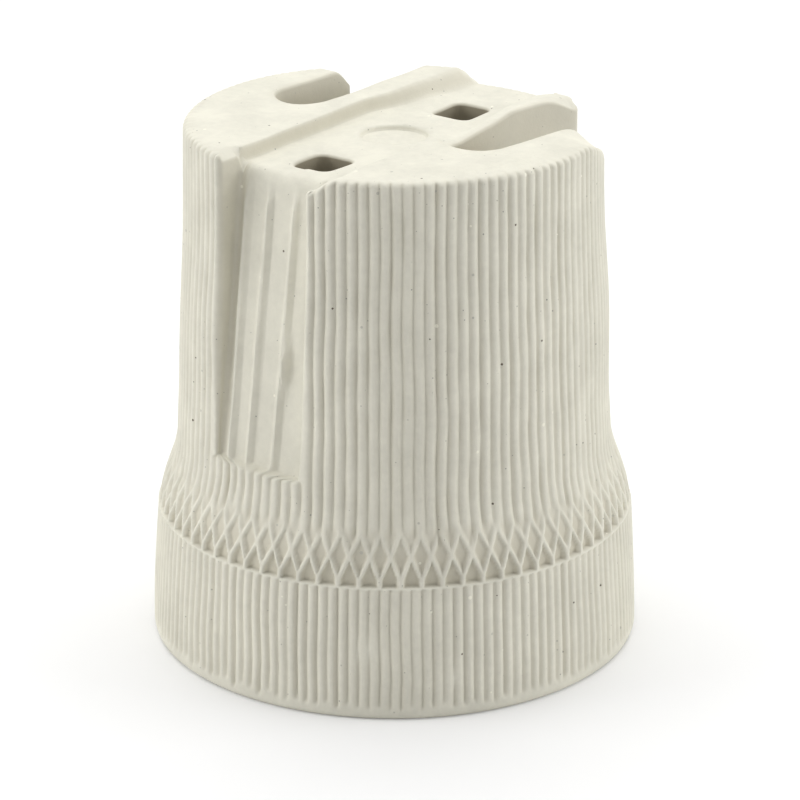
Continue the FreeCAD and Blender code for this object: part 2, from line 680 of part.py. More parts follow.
def make_clamp_washer(name, x, y):
    """The square washer that presses the wire on its plate."""
    low = f"{SLOT_FLOOR} + sizes.plate_height + sizes.washer_lift"
    plate = box(name + "_blank", "sizes.washer_side", "sizes.washer_side", "sizes.washer_sheet",
                x=f"{x} - sizes.washer_side / 2", y=f"{y} - sizes.washer_side / 2", z=low)
    hole = cylinder(name + "_hole", "sizes.screw_radius + sizes.washer_play", "sizes.washer_sheet",
                    x=x, y=y, z=low)
    return cut(name, plate, hole)


def make_terminal_group(slot, sign):
    """A slot's plate, its fixing screw from below and its clamp screw from above."""
    along, away = fixing_place(slot)
    middle = sign + plate_middle(slot)
    if slot == "line":
        metal = f"({CEILING} + sizes.pit_depth - sizes.strip_sheet)"
    else:
        metal = f"({CEILING} - sizes.shell_sheet)"
    seat = f"({metal} - sizes.spring_height)"
    plate_top = f"({SLOT_FLOOR} + sizes.plate_height - sizes.fixing_short)"
    clamp_seat = f"({SLOT_FLOOR} + sizes.plate_height + sizes.washer_lift + sizes.washer_sheet)"
    clamp_end = f"({SLOT_FLOOR} + sizes.clamp_short)"
    return [
        make_terminal(slot, sign),
        make_screw(f"{slot}_fixing_screw", seat, plate_top, True, along, sign + away),
        make_spring_washer(f"{slot}_spring_washer", seat, along, sign + away),
        make_screw(f"{slot}_clamp_screw", clamp_seat, clamp_end, False, "sizes.clamp_x", middle),
        make_clamp_washer(f"{slot}_clamp_washer", "sizes.clamp_x", middle),
    ]


def check_document():
    """Stop if any object failed to compute."""
    for item in doc.Objects:
        if "Invalid" in item.State or "Error" in item.State:
            raise RuntimeError(f"{item.Label} did not compute: {item.State}")


def export_pieces(pieces):
    """Check each sub-part's shape and write it to its own file."""
    os.makedirs("parts", exist_ok=True)
    for piece in pieces:
        shape = piece.Shape
        if shape.isNull() or not shape.isValid() or not shape.Solids:
            raise RuntimeError(f"{piece.Label} has no valid solid")
        shape.exportStep(f"parts/{piece.Label}.step")
        print(f"{piece.Label}: {len(shape.Solids)} solid, {shape.Volume:.1f} mm3, "
              f"{len(shape.Faces)} faces")


def main():
    fill_sheet()
    pieces = [make_ceramic_body(), make_screw_shell(), make_line_strip(), make_centre_contact(),
              make_contact_rivet()]
    pieces += make_terminal_group("line", "")
    pieces += make_terminal_group("neutral", "-")
    doc.recompute()
    check_document()
    export_pieces(pieces)


main()
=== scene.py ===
"""Looks of a bare porcelain lamp holder: the fluted ceramic, its rolled shell and its metal."""
import math

import bpy
import numpy as np
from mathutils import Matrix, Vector
from mathutils.geometry import delaunay_2d_cdt


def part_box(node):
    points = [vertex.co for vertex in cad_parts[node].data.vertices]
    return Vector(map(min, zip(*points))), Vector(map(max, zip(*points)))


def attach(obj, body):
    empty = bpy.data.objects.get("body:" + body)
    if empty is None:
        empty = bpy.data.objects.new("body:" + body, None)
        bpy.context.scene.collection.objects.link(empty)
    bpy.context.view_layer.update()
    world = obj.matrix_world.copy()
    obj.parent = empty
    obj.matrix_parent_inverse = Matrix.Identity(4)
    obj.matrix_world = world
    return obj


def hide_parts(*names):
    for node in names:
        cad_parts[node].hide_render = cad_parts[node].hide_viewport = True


bl_info = {
    "name": "Porcelain lamp holder",
    "version": (1, 0, 0),
    "blender": (4, 5, 0),
    "location": "View3D > Sidebar > Lamp holder",
    "description": "Dresses the packed lamp holder with fluted porcelain and finished metal",
    "category": "Object",
}

MM = 0.001
TURN = 2 * math.pi
QUARTER = math.pi / 2
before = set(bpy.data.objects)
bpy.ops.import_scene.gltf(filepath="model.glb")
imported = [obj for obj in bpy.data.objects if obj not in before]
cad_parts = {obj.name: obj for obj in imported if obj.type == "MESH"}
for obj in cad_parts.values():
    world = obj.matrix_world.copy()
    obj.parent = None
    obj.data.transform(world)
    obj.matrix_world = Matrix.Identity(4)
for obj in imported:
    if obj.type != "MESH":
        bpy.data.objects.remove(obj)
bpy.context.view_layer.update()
BODY_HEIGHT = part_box("ceramic_body")[1].z / MM
SHELL_FOOT, CEILING = (corner.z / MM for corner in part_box("screw_shell"))
SLOT_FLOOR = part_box("line_terminal")[0].z / MM
PIT_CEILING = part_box("line_strip")[1].z / MM


# ------------------------------------------------------------ settings

def length(name, description, value):
    """A size in metres, given here in millimetres."""
    return bpy.props.FloatProperty(name=name, description=description, default=value * MM,
                                   unit="LENGTH", precision=5)


def number_of(name, description, value):
    """How many there are of something."""
    return bpy.props.IntProperty(name=name, description=description, default=value)


def tint(name, description, value):
    """A colour, given as its red, green and blue."""
    return bpy.props.FloatVectorProperty(name=name, description=description, subtype="COLOR",
                                         size=3, default=value)


class LampHolderBody(bpy.types.PropertyGroup):
    """Sizes of the ceramic body's surface."""

    columns: number_of("Columns", "Grid columns round the body", 888)
    flange_flutes: number_of("Flange flutes", "Flutes round the flange", 148)
    barrel_flutes: number_of("Barrel flutes", "Flutes round the barrel", 123)
    cells: number_of("Lattice cells", "Cells of the lattice on the flare", 74)
    flute_depth: length("Flute depth", "Crest to groove", 0.24)
    lattice_depth: length("Lattice depth", "Depth of the pockets in the lattice", 0.42)
    rim_rounding: length("Rim rounding", "Rounding between the barrel and the top faces", 0.45)
    wall_rounding: length("Wall rounding", "Rounding at the top of the slot walls", 0.36)
    unevenness: length("Unevenness", "How far the pressed faces stand off true", 0.05)


class LampHolderFinish(bpy.types.PropertyGroup):
    """Colours of the porcelain and of the metals."""

    porcelain: tint("Porcelain", "Colour of the fired body", (0.735, 0.715, 0.615))
    # The colour that the painted shade in the grooves, on the walls and down the holes mixes
    # towards.
    groove: tint("Grooves", "Colour in the grooves", (0.60, 0.565, 0.46))
    pit: tint("Pits", "Colour of the dark specks", (0.15, 0.125, 0.095))
    brass: tint("Brass", "Colour of the brass parts", (0.72, 0.50, 0.22))
    nickel: tint("Nickel", "Colour of the plated shell", (0.66, 0.63, 0.56))
    steel: tint("Zinc", "Colour of the plated steel screws", (0.60, 0.61, 0.62))


# ------------------------------------------------------------ arrays and meshes

def ramp(low, high, value):
    """0 below low, 1 above high, and a smooth S between them."""
    share = np.clip((value - low) / (high - low), 0.0, 1.0)
    return share * share * (3 - 2 * share)


def ripple(angle, height, seed, turns=9, wave=16.0, terms=8):
    """A smooth random field of about unit size: a sum of cosines of the angle and height."""
    draw = np.random.default_rng(seed)
    total = 0.0
    for _ in range(terms):
        around = draw.integers(1, turns)
        upward = TURN / (wave * draw.uniform(0.5, 1.6)) * draw.choice((-1, 1))
        total = total + np.cos(around * angle + upward * height + draw.uniform(0, TURN))
    return total / math.sqrt(terms)


def circle(radius, steps, middle=(0.0, 0.0)):
    """Points of a circle in plan, counter-clockwise."""
    turn = np.linspace(0, TURN, steps, endpoint=False)
    return np.column_stack([middle[0] + radius * np.cos(turn), middle[1] + radius * np.sin(turn)])


def at_height(plan, height):
    """Plan points lifted to one height, or each to its own."""
    return np.column_stack([plan, height + np.zeros(len(plan))])


def make_object(name, points, faces):
    """A smooth-shaded mesh object from points in millimetres and lists of corners."""
    mesh = bpy.data.meshes.new(name)
    mesh.from_pydata((np.asarray(points) * MM).tolist(), [], faces)
    mesh.polygons.foreach_set("use_smooth", np.ones(len(mesh.polygons), bool))
    mesh.update()
    piece = bpy.data.objects.new(name, mesh)
    bpy.context.scene.collection.objects.link(piece)
    return piece


def ring_faces(rows, columns, start=0, outward=True):
    """Quadrilaterals between stacked closed rings of points, facing out or in."""
    row = np.arange(rows - 1)[:, None] * columns
    here = np.arange(columns)[None, :]
    after = (here + 1) % columns
    corners = [row + here, row + after, row + columns + after, row + columns + here]
    if not outward:
        corners = corners[::-1]
    return (np.stack(corners, axis=-1).reshape(-1, 4) + start).tolist()


def inside_loop(loop, points):
    """Which points lie inside a closed plan outline, by the even-odd rule."""
    first = loop[None, :, :]
    second = np.roll(loop, -1, axis=0)[None, :, :]
    x = points[:, None, 0]
    y = points[:, None, 1]
    spans = (first[..., 1] > y) != (second[..., 1] > y)
    rise = np.where(second[..., 1] == first[..., 1], 1.0, second[..., 1] - first[..., 1])
    crossing = first[..., 0] + (y - first[..., 1]) / rise * (second[..., 0] - first[..., 0])
    return (np.sum(spans & (x < crossing), axis=1) % 2) == 1


def fill_plan(loops, extra):
    """Triangles of the plan region inside the first loop and outside the others.

    Returns the added points and the triangles, numbered as the loops' points in order
    and then the added points.
    """
    corners = np.vstack(loops + [extra])
    edges = []
    start = 0
    for loop in loops:
        number = np.arange(len(loop))
        edges += (np.stack([number, (number + 1) % len(loop)], axis=1) + start).tolist()
        start += len(loop)
    places = [Vector(corner) for corner in corners.tolist()]
    result = delaunay_2d_cdt(places, edges, [], 0, 1e-6, True)
    origin = np.array([ids[0] for ids in result[3]])
    triangles = origin[np.array(result[2])]
    middles = corners[triangles].mean(axis=1)
    keep = inside_loop(loops[0], middles)
    for loop in loops[1:]:
        keep &= ~inside_loop(loop, middles)
    return corners[start:], triangles[keep]


def screw_middle(screw):
    """Where a screw's axis stands in plan, in millimetres."""
    low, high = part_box(screw)
    return np.array([(low.x + high.x) / 2, (low.y + high.y) / 2]) / MM


def drill(piece, screw, radius, low, high, steps=48):
    """Cut an upright round hole, heights and radius in millimetres, round a screw's shank."""
    plan = circle(radius, steps, screw_middle(screw))
    points = np.vstack([at_height(plan, height) for height in (low, high)])
    number = list(range(2 * steps))
    faces = ring_faces(2, steps) + [number[:steps][::-1], number[steps:]]
    tool = make_object("drill_tool", points, faces)
    modifier = piece.modifiers.new("drill", "BOOLEAN")
    modifier.operation = "DIFFERENCE"
    modifier.solver = "EXACT"
    modifier.object = tool
    seen = piece.evaluated_get(bpy.context.evaluated_depsgraph_get())
    cut = bpy.data.meshes.new_from_object(seen)
    piece.modifiers.clear()
    piece.data = cut
    bpy.data.objects.remove(tool)


# ------------------------------------------------------------ ceramic body: plan

NOTCH = {"left": 5.1, "right": 4.1, "ledge": 20.4, "low": 18.25, "high": 14.85, "top": 45.15,
         "corner": 0.56, "foot": 0.3}
LINE_SLOT = {"near": 8.8, "far": 13.95, "near_flare": 0.0, "flare": -0.3, "end": -1.0,
             "near_corner": 0.9, "far_corner": 0.55}
NEUTRAL_SLOT = {"near": 5.9, "far": 12.2, "near_flare": 2.3, "flare": 1.7, "end": -3.1,
                "near_corner": 0.9, "far_corner": 0.6}
SLOT_FLARE_POWER = 2.5
CHANNEL = {"foot": 5.8, "mouth": 6.2, "depth": 1.3, "land": 4.9, "land_start": 2.0,
           "land_end": 9.5, "land_share": 0.93}
HOLES = {"offset": 9.9, "length": 4.3, "width": 3.8, "corner": 0.9, "edge": 0.3, "drill": 1.6}
RECESS = {"radius": 3.0, "depth": 0.4}
PIT = {"half_width": 2.45, "past_axis": 2.0}
BORE_RADIUS = 13.8
MOUTH = {"radius": 15.2, "depth": 6.5, "bevel": 1.0}
RIBS = {"places": ((4.0, 0.004), (1.8, -0.012), (-1.0, -0.02)), "level": 30, "rise": 0.42,
        "half_width": 0.27, "end": (42.5, 44.0)}
FLAKE = {"y": -1.35, "z": 30.0, "half_width": 0.38, "half_height": 1.6, "rise": 0.85}


def line_part(start, end, count):
    """count points from start towards end, whose coordinates are columns of rows."""
    share = np.arange(count)[None, :] / count
    return start[0] + (end[0] - start[0]) * share, start[1] + (end[1] - start[1]) * share


def arc_part(centre, radius, start, end, count):
    """count points on a circle, from one angle towards another."""
    angle = start + (end - start) * np.arange(count)[None, :] / count
    return centre[0] + radius * np.cos(angle), centre[1] + radius * np.sin(angle)


def join_parts(parts):
    """The x and the y of parts laid end to end."""
    return [np.hstack(runs) for runs in zip(*parts)]


def share_columns(lengths, total, least=5):
    """Split columns among parts by length, with a few for each."""
    lengths = np.asarray(lengths, float)
    counts = np.maximum(least, np.floor(lengths / lengths.sum() * total)).astype(int)
    counts[np.argmax(counts)] += total - counts.sum()
    return counts


def corner_fade(total, first, last, power):
    """1 along a path, growing from 0 over its first corner and back to 0 over its last."""
    fade = np.ones(total)
    fade[:first] = np.linspace(0, 1, first) ** power
    fade[-last:] = np.linspace(1, 0, last) ** power
    return fade


def slot_path(slot, radius, total):
    """A wire slot's outline at rows of body radius, counter-clockwise for a slot at +Y:
    a corner off the rim, the near wall, the round end, the far wall and a corner back.

    The near wall bends out to its flare as a power of the way to the rim.
    """
    near, far = slot["near"], slot["far"]
    near_corner, far_corner = slot["near_corner"], slot["far_corner"]
    lip = near + slot["near_flare"]
    mouth = far + slot["flare"]
    half = (far - near) / 2
    near_x = np.sqrt((radius - near_corner) ** 2 - (lip - near_corner) ** 2)
    far_x = np.sqrt((radius - far_corner) ** 2 - (mouth + far_corner) ** 2)
    zero = 0 * radius
    turn_x = zero + slot["end"] + half
    counts = share_columns([near_corner * 1.2, near_x.mean() - turn_x.mean(), math.pi * half,
                            far_x.mean() - turn_x.mean(), far_corner * 2.4], total)
    near_angle = np.arctan2(lip - near_corner, near_x)
    far_angle = np.arctan2(mouth + far_corner, far_x)
    wall_x, outward = line_part((near_x, zero + 1.0), (turn_x, zero), counts[1])
    x, y = join_parts([
        arc_part((near_x, zero + lip - near_corner), near_corner, near_angle, QUARTER, counts[0]),
        (wall_x, near + (lip - near) * outward ** SLOT_FLARE_POWER),
        arc_part((turn_x, zero + near + half), half, -QUARTER, -3 * QUARTER, counts[2]),
        line_part((turn_x, zero + far), (far_x, zero + mouth), counts[3]),
        arc_part((far_x, zero + mouth + far_corner), far_corner, -QUARTER, far_angle, counts[4]),
    ])
    return x, y, corner_fade(total, counts[0], counts[4], 0.5)


def notch_path(radius, depth, total):
    """The bracket notch's outline at rows of body radius and floor distance: a corner
    off the barrel, a wall, the floor, a wall and a corner back.

    Where the notch is shallow, its roundings are held to a share of the wall.
    """
    left = NOTCH["left"]
    right = -NOTCH["right"]
    wall = np.sqrt(radius ** 2 - left ** 2) - depth
    corner = np.clip(0.4 * wall, 0.12, NOTCH["corner"])
    foot = np.clip(0.3 * wall, 0.08, NOTCH["foot"])
    zero = 0 * radius
    left_x = -np.sqrt((radius - corner) ** 2 - (left + corner) ** 2)
    right_x = -np.sqrt((radius - corner) ** 2 - (right - corner) ** 2)
    bend = [NOTCH["corner"] * 2, 3.0, NOTCH["foot"] * 1.6]
    counts = share_columns(bend + [left - right] + bend[::-1], total)
    left_angle = np.arctan2(left + corner, left_x)
    right_angle = np.arctan2(right - corner, right_x) + TURN
    foot_x = -depth - foot
    x, y = join_parts([
        arc_part((left_x, zero + left + corner), corner, left_angle, 3 * QUARTER, counts[0]),
        line_part((left_x, zero + left), (foot_x, zero + left), counts[1]),
        arc_part((foot_x, zero + left - foot), foot, QUARTER, 0.0, counts[2]),
        line_part((-depth, zero + left - foot), (-depth, zero + right + foot), counts[3]),
        arc_part((foot_x, zero + right + foot), foot, 0.0, -QUARTER, counts[4]),
        line_part((foot_x, zero + right), (right_x, zero + right), counts[5]),
        arc_part((right_x, zero + right - corner), corner, QUARTER, right_angle, counts[6]),
    ])
    floor = np.zeros(total)
    first = counts[:3].sum()
    floor[first:first + counts[3]] = 1.0
    return x, y, corner_fade(total, counts[0], counts[6], 1.0), floor


def notch_ribs(y, z):
    """How far the three upright ribs and a flake on one stand out of the notch floor.

    A rib is a flat-topped bump across y whose middle leans with the height.
    """
    rise = 0.0
    for middle, lean in RIBS["places"]:
        across = y - middle - lean * (z - RIBS["level"])
        rise = rise + RIBS["rise"] * np.exp(-(across / RIBS["half_width"]) ** 4)
    flake = np.exp(-((z - FLAKE["z"]) / FLAKE["half_height"]) ** 4
                   - ((y - FLAKE["y"]) / FLAKE["half_width"]) ** 4)
    rise = np.maximum(rise, FLAKE["rise"] * flake)
    return rise * (1 - ramp(*RIBS["end"], z))


# ------------------------------------------------------------ ceramic body: heights

FLANGE = {"radius": 22.1, "dome": 0.0156, "top": 12.15}
FLARE = {"width": 1.50, "foot": 12.0, "top": 19.2}
BARREL = {"radius": 19.62, "base": 18, "taper": 0.0449}
WAIST = {"depth": 0.06, "middle": 30.5, "length": 16.5, "start": (19, 24)}
FLUTE_POWER = 0.85
# The channel's wall on the line side: where its foot and its top stand in y, at each x.
LINE_WALL = {"x": (-14.0, 4.0, 17.5), "foot": (5.2, 5.8, 3.4), "mouth": (5.55, 6.2, 5.8)}
# The rounded lump that ends the land beside the neutral slot.
LUMP = {"inner": (4.6, 5.0), "outer": (9.0, 9.6), "along": (8.0, 14.0), "rim": (14.5, 18.0),
        "rim_drop": 0.4, "side": (6.8, 8.8), "side_drop": 1.4}
# Worn tips of the slots' outer walls, and a slight rise: depth, and the spans it grows over.
WORN = ((3.2, (("y", 12.8, 13.4), ("x", 9.0, 12.9))),
        (2.7, (("minus_y", 11.8, 12.4), ("x", 7.5, 12.8))),
        (1.5, (("minus_y", 12.0, 12.6), ("x", 3.5, 9.0), ("radius", 14.8, 18.2))),
        (-0.12, (("slant", 10.0, 17.0),)))


def barrel_line(z):
    """Radius of the tapered barrel, with its slight waist."""
    waist = WAIST["depth"] * np.cos(TURN * (z - WAIST["middle"]) / WAIST["length"])
    return BARREL["radius"] - BARREL["taper"] * (z - BARREL["base"]) + \
        waist * ramp(*WAIST["start"], z)


def body_radius(z):
    """Radius of the crests: a slightly domed flange, a flare and a tapered barrel."""
    flange = FLANGE["radius"] - FLANGE["dome"] * np.maximum(z - 1, 0) ** 1.5
    flare = barrel_line(z) + FLARE["width"] * (1 - ramp(FLARE["foot"], FLARE["top"], z))
    return np.where(z < FLANGE["top"], flange, flare)


def channel_wall(x):
    """Where the channel's wall on the line side starts and ends, at each x."""
    return [np.interp(x, LINE_WALL["x"], LINE_WALL[edge]) for edge in ("foot", "mouth")]


def top_height(x, y):
    """Height of the top: the lands, the bracket channel, its recess and its bevel.

    Each feature is a depth below the top that comes in over smooth ramps, and the depths
    are added up.
    """
    radius = np.hypot(x, y)
    foot, mouth = channel_wall(x)
    left = 1 - ramp(foot, mouth, y)
    soft = 1 - ramp(-17.0, -13.0, x)
    right = 1 - ramp(CHANNEL["foot"] - 1.5 * soft, CHANNEL["mouth"] + 0.5 * soft, -y)
    land_run = CHANNEL["land_end"] - CHANNEL["land_start"]
    land = ramp(CHANNEL["land"] - 0.25, CHANNEL["land"] + 0.2, -y)
    land = land * np.clip((x - CHANNEL["land_start"]) / land_run, 0, 1)
    depth = CHANNEL["depth"] * left * right * (1 - CHANNEL["land_share"] * land)
    recess = 1 - ramp(RECESS["radius"] - 0.12, RECESS["radius"] + 0.05, radius)
    depth = depth + RECESS["depth"] * recess
    lump = ramp(*LUMP["inner"], -y) * (1 - ramp(*LUMP["outer"], -y)) * ramp(*LUMP["along"], x)
    depth = depth + lump * (LUMP["rim_drop"] * ramp(*LUMP["rim"], radius)
                            + LUMP["side_drop"] * ramp(*LUMP["side"], -y))
    measures = {"x": x, "y": y, "minus_y": -y, "radius": radius, "slant": y - 0.4 * x}
    for amount, spans in WORN:
        for name, start, end in spans:
            amount = amount * ramp(start, end, measures[name])
        depth = depth + amount
    bevel = np.maximum(0, -NOTCH["high"] + 0.95 - x)
    within = (1 - ramp(NOTCH["left"] - 0.1, NOTCH["left"] + 0.15, y)) * \
        (1 - ramp(NOTCH["right"] - 0.1, NOTCH["right"] + 0.15, -y))
    depth = depth + bevel * within
    for side in (-1, 1):
        reach = np.maximum(np.abs(x - side * HOLES["offset"]) - HOLES["length"] / 2,
                           np.abs(y) - HOLES["width"] / 2)
        depth = depth + 0.14 * (1 - ramp(0.1, 1.0, reach))
    uneven = 0.05 * ripple(np.arctan2(y, x) * 0.5, radius, 11, turns=5, wave=9.0)
    return BODY_HEIGHT - depth + uneven - 0.04


def flute(phase):
    """Depth share across a flute: 1 at the narrow groove, 0 on the rounded crest."""
    return 1 - np.abs(np.sin(math.pi * phase)) ** FLUTE_POWER


def each_flute(phase, seed, spread):
    """A random strength near 1 for each flute, shared by all of its points."""
    strength = 1 + spread * np.random.default_rng(seed).normal(size=400)
    return np.clip(strength, 0.55, 1.45)[np.floor(phase + 0.5).astype(int)]


def lattice_depth(angle, z, body):
    """Depth of the pockets between two sets of ribs that lean left and right.

    A rib's distance is the smaller of the distances from the two leaning lines that pass
    nearby, and a pocket's floor is deepest just above the lip.
    """
    cell = TURN * 20.7 / body.cells
    across = angle / TURN * body.cells
    lean = 0.256 * (np.clip(z, 12.82, 16.5) - 14.7)
    first = np.abs((across - lean) % 1.0 - 0.5)
    second = np.abs((across + lean) % 1.0 - 0.5)
    nearest = np.minimum(first, second) * cell * 0.91
    thick = 0.13 + 0.03 * ripple(angle, z, 7, turns=60, wave=7.0)
    floor = body.lattice_depth / MM * np.clip(1.25 - 0.21 * (z - 12.2), 0.15, 1.25)
    return floor * ramp(thick, thick + 0.17, nearest) * (1 - ramp(16.3, 17.5, z))


def surface_depth(angle, z, body):
    """How deep the flutes and the lattice cut into the crests, in millimetres.

    Each flute has its own strength, starts at a ragged height and wears unevenly, and
    here and there the flange's flutes are smeared over.
    """
    depth = body.flute_depth / MM
    phase = angle / TURN * body.barrel_flutes
    start = 16.5 + 0.5 * ripple(angle, 0 * z, 4, turns=90, terms=14)
    worn = np.clip(1 + 0.16 * ripple(angle, z, 12, turns=60, wave=7.0), 0.5, 1.3)
    barrel = depth * each_flute(phase, 5, 0.16) * flute(phase) * worn * \
        ramp(start - 0.9, start + 0.5, z)
    phase = angle / TURN * body.flange_flutes
    ragged = 1.2 + 0.22 * ripple(angle, 0 * z, 6, turns=120, terms=14)
    flange = depth * each_flute(phase, 8, 0.14) * flute(phase) * \
        ramp(ragged - 0.3, ragged + 0.3, z)
    smear = ramp(1.6, 2.1, ripple(angle, z * 2.5, 21, turns=30, wave=16.0, terms=10))
    flange = flange * (1 - 0.8 * smear) * (1 - ramp(12.1, 12.2, z))
    return np.where(z < FLANGE["top"], flange, barrel + lattice_depth(angle, z, body))


def body_rows():
    """The grid's rows from the ceiling of the bore, out of the mouth and up the outside.

    Returns radius (or 0 where the body's own profile holds), height, and how far the
    notch and the slots are entered.
    """
    mouth, depth, bevel = MOUTH["radius"], MOUTH["depth"], MOUTH["bevel"]
    inside = [(BORE_RADIUS, CEILING), (BORE_RADIUS, CEILING - 0.2), (BORE_RADIUS, 19.0),
              (BORE_RADIUS, depth + 0.2), (BORE_RADIUS + 0.2, depth), (mouth - 0.2, depth),
              (mouth, depth - 0.2), (mouth, bevel + 0.1), (mouth + 0.1, bevel - 0.1),
              (mouth + bevel - 0.1, 0.1), (mouth + bevel + 0.15, 0.0),
              (21.55, 0.0), (21.82, 0.05), (22.0, 0.2), (22.09, 0.45)]
    flange = [0.7, 0.9, 1.1, 1.3, 1.6, 2.4, 3.7, 5.0, 6.5, 8.0, 9.4, 10.6, 11.5, 11.9]
    lip = [(21.49, 12.06), (21.42, 12.14)]
    flare = np.arange(12.2, 17.5, 0.215).tolist() + [18.1, 18.9, 19.7]
    ledge = ((-0.25, 0.0), (-0.08, 0.1), (0.03, 0.42), (0.12, 0.8), (0.24, 0.97), (0.45, 1.0))
    floor = ((-0.3, 0.0), (-0.02, 0.02), (0.0, 0.35), (0.0, 0.7), (0.02, 0.97), (0.25, 1.0))
    rows = [(*place, 0.0, 0.0) for place in inside]
    rows += [(0.0, height, 0.0, 0.0) for height in flange]
    rows += [(*place, 0.0, 0.0) for place in lip]
    rows += [(0.0, height, 0.0, 0.0) for height in flare]
    rows += [(0.0, NOTCH["ledge"] + lift, share, 0.0) for lift, share in ledge]
    rows += [(0.0, height, 1.0, 0.0) for height in np.linspace(21.8, SLOT_FLOOR - 1.2, 11)]
    rows += [(0.0, SLOT_FLOOR + lift, 1.0, share) for lift, share in floor]
    return np.array(rows)


def sector(angle, start, end):
    """The columns whose angle lies between two angles."""
    return np.nonzero((angle >= start) & (angle < end))[0]


def path_ends(path):
    """The widest pair of angles between which a notch or slot leaves the mantle."""
    ends = np.arctan2(path[1][:, [0, -1]], path[0][:, [0, -1]]) % TURN
    return ends[:, 0].min() - 0.003, ends[:, 1].max() + 0.003


def make_outside(body, upper=8, rounding=4):
    """The body's outside as one grid, with its last row the loop round the top faces.

    Each row is a closed plan outline: a circle of the body's radius, which follows the
    notch above its ledge and the wire slots above their floor. The flutes and the
    lattice push it in along the outline's normal. The last rows round the outline over
    into the top, whose height they take. The second array is each point's painted shade:
    the flutes' depth share in the grooves plus painted shade on the slot walls and in the
    notch, less on the top rounding.
    """
    columns = body.columns
    angle = np.arange(columns) / columns * TURN
    groove = np.round(angle / TURN * body.barrel_flutes) / body.barrel_flutes * TURN
    snapped = np.where(np.abs(groove - angle) < TURN / columns / 2, groove, angle)
    rows = body_rows()
    lower = len(rows)
    added = upper + rounding
    radius_row = np.concatenate([rows[:, 0], np.zeros(added)])
    climb = np.linspace(SLOT_FLOOR + 0.25, BODY_HEIGHT, added + 1)[1:]
    base_z = np.concatenate([rows[:, 1], climb])[:, None]
    notch_share = np.concatenate([rows[:, 2], np.ones(added)])[:, None]
    slot_share = np.concatenate([rows[:, 3], np.ones(added)])[:, None]
    outer = (radius_row == 0)[:, None]
    z = np.repeat(base_z, columns, axis=1)
    radius = np.where(outer, body_radius(base_z), radius_row[:, None])
    # Painted shade on the walls of the slots and in the notch, added to the grooves' painted
    # shade.
    painted_notch_slot_shade = np.zeros((lower + added, columns))
    around = angle[None, :] + ramp(14.5, 17.0, base_z) * (snapped - angle)[None, :]
    sway = body.unevenness / MM / 20 * ripple(around, base_z, 3, turns=14, wave=15.0)
    swayed = around + sway * ramp(2.0, 4.0, base_z)
    x = radius * np.cos(swayed)
    y = radius * np.sin(swayed)
    fluted = np.repeat(outer.astype(float), columns, axis=1)
    round_off = np.full(columns, body.rim_rounding / MM)
    safe = np.clip(radius, 18.2, 20.0)

    def follow(picked, share, path_x, path_y, keep):
        """Move columns by a share onto a path, and end the flutes on it."""
        x[:, picked] += share * (path_x - x[:, picked])
        y[:, picked] += share * (path_y - y[:, picked])
        fluted[:, picked] *= 1 - share * keep[None, :]

    for slot, side in ((LINE_SLOT, 1), (NEUTRAL_SLOT, -1)):
        first, last = path_ends(slot_path(slot, np.array([[18.15], [18.9]]), 60))
        if side < 0:
            first, last = TURN - last, TURN - first
        picked = sector(angle, first, last)
        path_x, path_y, keep = slot_path(slot, np.where(base_z > 36, safe, 18.7), len(picked))
        if side < 0:
            path_x, path_y, keep = path_x[:, ::-1], -path_y[:, ::-1], keep[::-1]
        follow(picked, slot_share, path_x, path_y, keep)
        # Painted shade on the slot walls.
        painted_notch_slot_shade[:, picked] += 0.9 * slot_share * keep[None, :]
        flat = (slot_share > 0) & (base_z < SLOT_FLOOR + 0.1)
        z[:, picked] = np.where(flat, SLOT_FLOOR, z[:, picked])
        round_off[picked] += (body.wall_rounding / MM - round_off[picked]) * keep

    rise = np.clip((base_z - NOTCH["ledge"]) / (NOTCH["top"] - NOTCH["ledge"]), 0, 1)
    depth = NOTCH["low"] + (NOTCH["high"] - NOTCH["low"]) * rise
    widest = notch_path(np.array([[18.15], [19.7]]), np.array([[16.5], [16.5]]), 80)
    picked = sector(angle, *path_ends(widest))
    path_x, path_y, keep, floor = notch_path(safe, depth, len(picked))
    path_x = path_x - notch_ribs(path_y, base_z) * floor[None, :]
    follow(picked, notch_share, path_x, path_y, keep)
    # Painted shade on the notch's shaded wall, and a little on its floor.
    shaded = 0.75 * (path_y > NOTCH["left"] - 0.6)
    painted_notch_slot_shade[:, picked] += notch_share * (keep * shaded + 0.15 * floor)
    round_off[picked] += (0.3 - round_off[picked]) * keep ** 0.25
    round_off[picked] += (0.95 - round_off[picked]) * floor

    along_x = np.roll(x, -1, axis=1) - np.roll(x, 1, axis=1)
    along_y = np.roll(y, -1, axis=1) - np.roll(y, 1, axis=1)
    run = np.maximum(np.hypot(along_x, along_y), 1e-9)
    normal_x = along_y / run
    normal_y = -along_x / run

    cut = surface_depth(around, base_z + 0 * z, body) * fluted
    push = body.unevenness / MM * ripple(around, z, 9, turns=7, wave=22.0) * outer - cut

    height = top_height(x[-1] - round_off * normal_x[-1], y[-1] - round_off * normal_y[-1])
    start = z[lower - 1]
    for step in range(upper):
        z[lower + step] = start + (height - round_off - start) * ((step + 1) / upper)
    for step, turn in enumerate(np.linspace(0, QUARTER, rounding + 1)[1:]):
        row = lower + upper + step
        z[row] = height - round_off * (1 - math.sin(turn))
        push[row] = push[row] * (1 - 0.75 * step / rounding) - round_off * (1 - math.cos(turn))
    points = np.stack([x + push * normal_x, y + push * normal_y, z], axis=-1)
    # Painted shade: the grooves' depth share plus the walls' painted shade, less on the top
    # rounding's last rows.
    painted_shade = np.clip(cut / (body.flute_depth / MM) + painted_notch_slot_shade, 0, 1.3)
    painted_shade[-2:] *= 0.4
    return points, painted_shade


